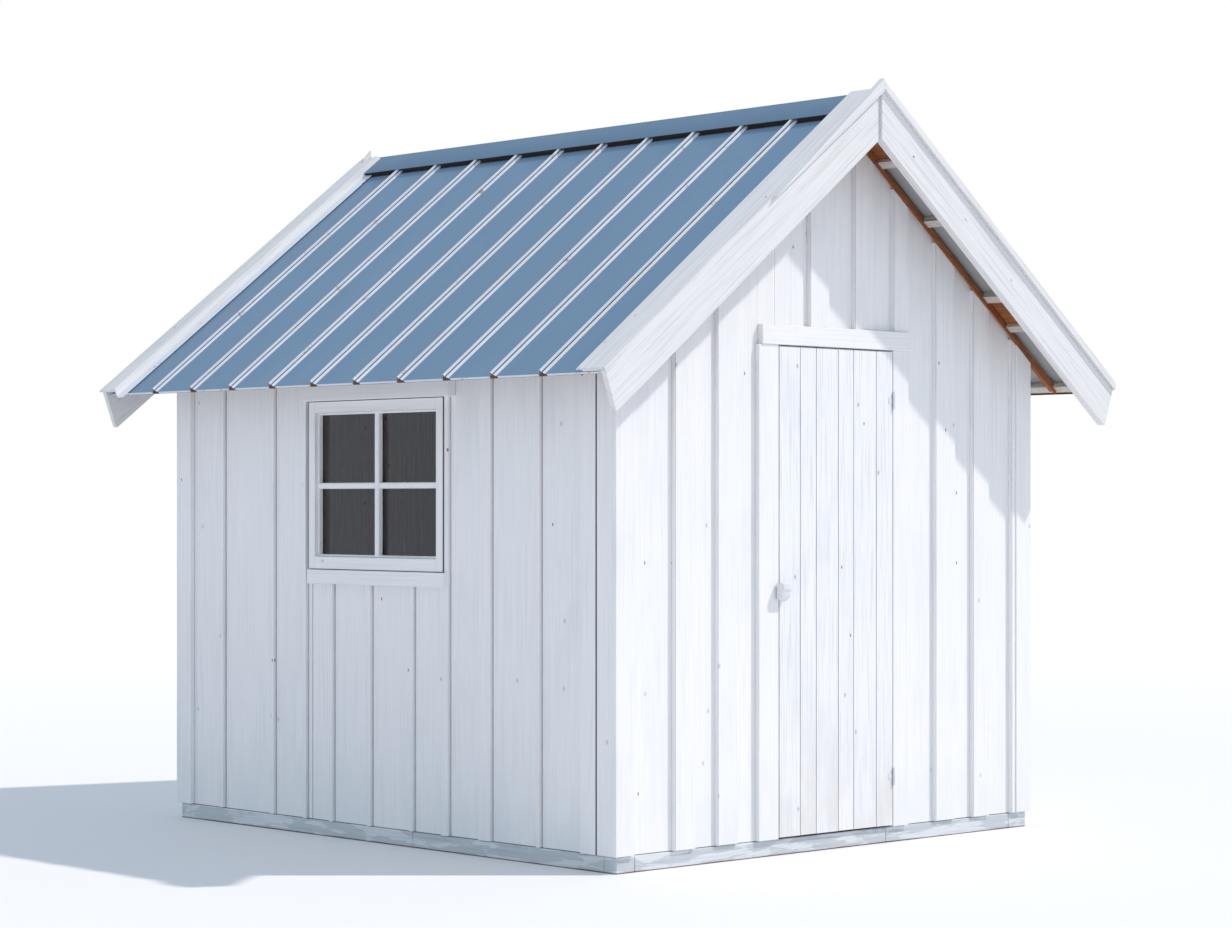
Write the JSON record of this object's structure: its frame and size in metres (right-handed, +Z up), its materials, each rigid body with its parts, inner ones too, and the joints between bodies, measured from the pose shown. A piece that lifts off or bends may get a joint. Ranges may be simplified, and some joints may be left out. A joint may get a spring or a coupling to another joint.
{
  "type": "garden shed",
  "caption": "Timber garden shed with upright board cladding, ribbed metal gable roof, a hinged plank door and a small divided window.",
  "frame": {"origin": "on the ground at the centre of the four walls; the roof reaches 41 mm further past the front wall than past the back", "axes": "+Z up, -Y out of the gable with the door, -X out of the wall with the window, +Y along the ridge towards the back"},
  "size_m": [2.92, 3.213, 3.0017],
  "materials": {
    "painted_boards": "white paint on sawn boards",
    "door_boards": "worn white paint on door boards",
    "weathered_base": "thin weathered paint on base timbers",
    "purlin_timber": "whitewashed purlins",
    "bare_timber": "bare brown timber",
    "roof_sheet": "slate blue coated steel, satin",
    "door_hardware": "white painted steel",
    "window_glass": "clear float glass"
  },
  "bodies": {
    "root": {"front_wall_left": "painted_boards", "front_wall_right": "painted_boards", "front_gable": "painted_boards", "back_wall": "painted_boards", "left_wall_front": "painted_boards", "left_wall_back": "painted_boards", "left_wall_below_window": "painted_boards", "left_wall_over_window": "painted_boards", "right_wall": "painted_boards", "corner_board_front_left": "painted_boards", "corner_board_front_right": "painted_boards", "corner_board_back_left": "painted_boards", "corner_board_back_right": "painted_boards", "door_trim_left": "painted_boards", "door_trim_right": "painted_boards", "door_header": "painted_boards", "window_stile_front": "painted_boards", "window_stile_back": "painted_boards", "window_rail_bottom": "painted_boards", "window_rail_top": "painted_boards", "window_head_board": "painted_boards", "window_sill_board": "painted_boards", "barge_board_front_left": "painted_boards", "barge_board_front_right": "painted_boards", "barge_board_back_left": "painted_boards", "barge_board_back_right": "painted_boards", "verge_cap_front_left": "painted_boards", "verge_cap_front_right": "painted_boards", "verge_cap_back_left": "painted_boards", "verge_cap_back_right": "painted_boards", "verge_strip_left": "painted_boards", "verge_strip_right": "painted_boards", "base_front": "weathered_base", "base_back": "weathered_base", "base_left": "weathered_base", "base_right": "weathered_base", "purlin_ridge_left": "purlin_timber", "purlin_ridge_right": "purlin_timber", "purlin_upper_left": "purlin_timber", "purlin_upper_right": "purlin_timber", "purlin_lower_left": "purlin_timber", "purlin_lower_right": "purlin_timber", "purlin_eave_left": "purlin_timber", "purlin_eave_right": "purlin_timber", "floor": "bare_timber", "roof_sheet_left": "roof_sheet", "roof_sheet_right": "roof_sheet", "ridge_cap": "roof_sheet", "hinge_lower": "door_hardware", "hinge_upper": "door_hardware", "window_glass": "window_glass"},
    "door": {"door_leaf": "door_boards", "door_latch": "door_hardware"}
  },
  "joints": [
    {"name": "door_hinge", "type": "hinge", "parent": "root", "child": "door", "pos_m": [0.325, -1.3895, 1], "axis": [0, 0, 1], "range_deg": [0, 105]}
  ]
}
